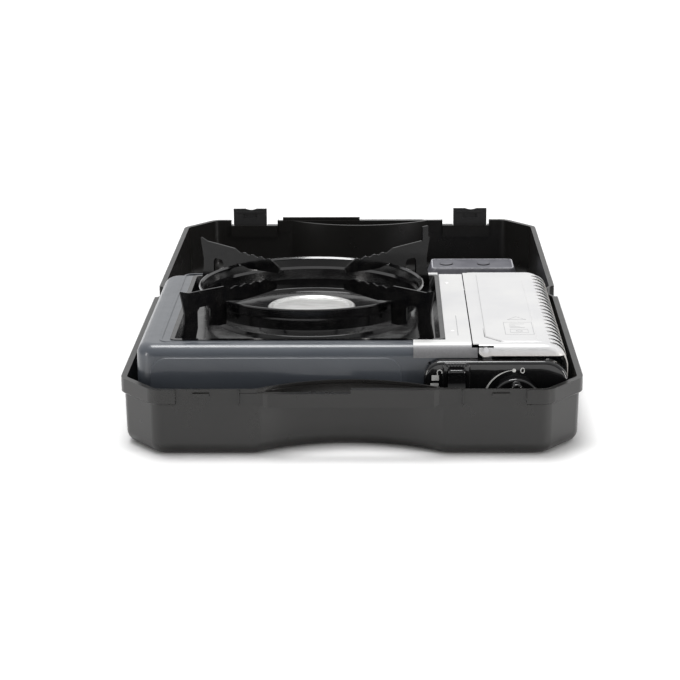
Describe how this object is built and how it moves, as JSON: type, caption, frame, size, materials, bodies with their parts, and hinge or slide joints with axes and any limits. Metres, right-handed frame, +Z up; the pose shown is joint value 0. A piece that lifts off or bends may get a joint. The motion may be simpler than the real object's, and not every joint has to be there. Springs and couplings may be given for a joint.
{
  "type": "camping stove",
  "caption": "Single-burner gas camping stove with cartridge bay and pot trivet, standing in the base of its hinged carry case, lid laid open behind.",
  "frame": {"origin": "on the floor under the middle of the case hinge, midway between the two halves of the open case", "axes": "+X to the user's right, +Y from the stove towards the open lid, +Z up"},
  "size_m": [0.385, 0.664, 0.1335],
  "materials": {
    "case_plastic": "moulded, satin, fine texture",
    "latch_plastic": "moulded, satin",
    "pin_steel": "turned",
    "rubber": "matt",
    "casing_steel": "painted, satin",
    "blue_grey_paint": "gloss blue-grey paint",
    "bright_steel": "silver coated, fine satin",
    "galvanised_sheet": "galvanised",
    "black_enamel": "gloss black enamel",
    "cap_steel": "pressed, satin",
    "cast_aluminium": "cast",
    "brass": "turned",
    "copper_pipe": "drawn copper tube",
    "zinc_casting": "die cast",
    "igniter_plastic": "moulded",
    "white_ceramic": "glazed",
    "lead_jacket": "silicone sleeve",
    "gloss_black_plastic": "gloss black"
  },
  "bodies": {
    "case": {"case_base": "case_plastic", "case_hinge_pins": "pin_steel"},
    "lid": {"case_lid": "case_plastic", "latch_pins": "pin_steel"},
    "left_clip": {"latch_left": "latch_plastic"},
    "right_clip": {"latch_right": "latch_plastic"},
    "stove": {"stove_feet": "rubber", "lower_casing": "casing_steel", "top_plate": "blue_grey_paint", "deck_plate": "bright_steel", "heat_wall": "galvanised_sheet", "cover_hinges": "pin_steel", "drip_pan": "black_enamel", "burner_cap": "cap_steel", "burner_port_ring": "cast_aluminium", "burner_bowl": "cast_aluminium", "mixing_tube": "galvanised_sheet", "burner_bracket": "galvanised_sheet", "gas_jet": "brass", "gas_pipe": "copper_pipe", "regulator": "zinc_casting", "regulator_nozzle": "brass", "nozzle_seal": "rubber", "piezo_igniter": "igniter_plastic", "electrode_insulator": "white_ceramic", "spark_electrode": "pin_steel", "ignition_lead": "lead_jacket", "control_panel": "gloss_black_plastic", "cartridge_cradle": "galvanised_sheet", "burner_screws": "pin_steel", "panel_screws": "pin_steel"},
    "trivet": {"trivet_ring": "black_enamel", "trivet_arm_back_right": "black_enamel", "trivet_arm_back_left": "black_enamel", "trivet_arm_front_left": "black_enamel", "trivet_arm_front_right": "black_enamel"},
    "cover": {"cartridge_cover": "bright_steel"},
    "lever": {"lock_lever": "gloss_black_plastic"},
    "pusher": {"lock_rail": "galvanised_sheet", "cartridge_pusher": "galvanised_sheet"},
    "knob": {"control_knob": "gloss_black_plastic", "valve_stem": "pin_steel"}
  },
  "joints": [
    {"name": "lid_hinge", "type": "hinge", "parent": "case", "child": "lid", "pos_m": [0, 0, 0.057], "axis": [-1, 0, 0], "range_deg": [-155, 0]},
    {"name": "left_latch_hinge", "type": "hinge", "parent": "lid", "child": "left_clip", "pos_m": [-0.1225, 0.329, 0.047], "axis": [-1, 0, 0], "range_deg": [0, 80]},
    {"name": "right_latch_hinge", "type": "hinge", "parent": "lid", "child": "right_clip", "pos_m": [0.1225, 0.329, 0.047], "axis": [-1, 0, 0], "range_deg": [0, 80]},
    {"name": "stove_lift", "type": "slide", "parent": "case", "child": "stove", "axis": [0, 0, 1], "range_m": [0, 0.12]},
    {"name": "trivet_lift", "type": "slide", "parent": "stove", "child": "trivet", "axis": [0, 0, 1], "range_m": [0, 0.06]},
    {"name": "cover_hinge", "type": "hinge", "parent": "stove", "child": "cover", "pos_m": [0.1115, -0.1625, 0.0806], "axis": [0, -1, 0], "range_deg": [0, 90]},
    {"name": "lock_lever_slide", "type": "slide", "parent": "stove", "child": "lever", "axis": [0, 0, -1], "range_m": [0, 0.014]},
    {"name": "pusher_slide", "type": "slide", "parent": "stove", "child": "pusher", "axis": [0, -1, 0], "range_m": [0, 0.0056]},
    {"name": "knob_turn", "type": "hinge", "parent": "stove", "child": "knob", "pos_m": [0.136, -0.31, 0.0387], "axis": [0, -1, 0], "range_deg": [0, 135]}
  ],
  "couplings": [
    {"joint": "pusher_slide", "follows": "lock_lever_slide", "ratio": 0.4}
  ]
}
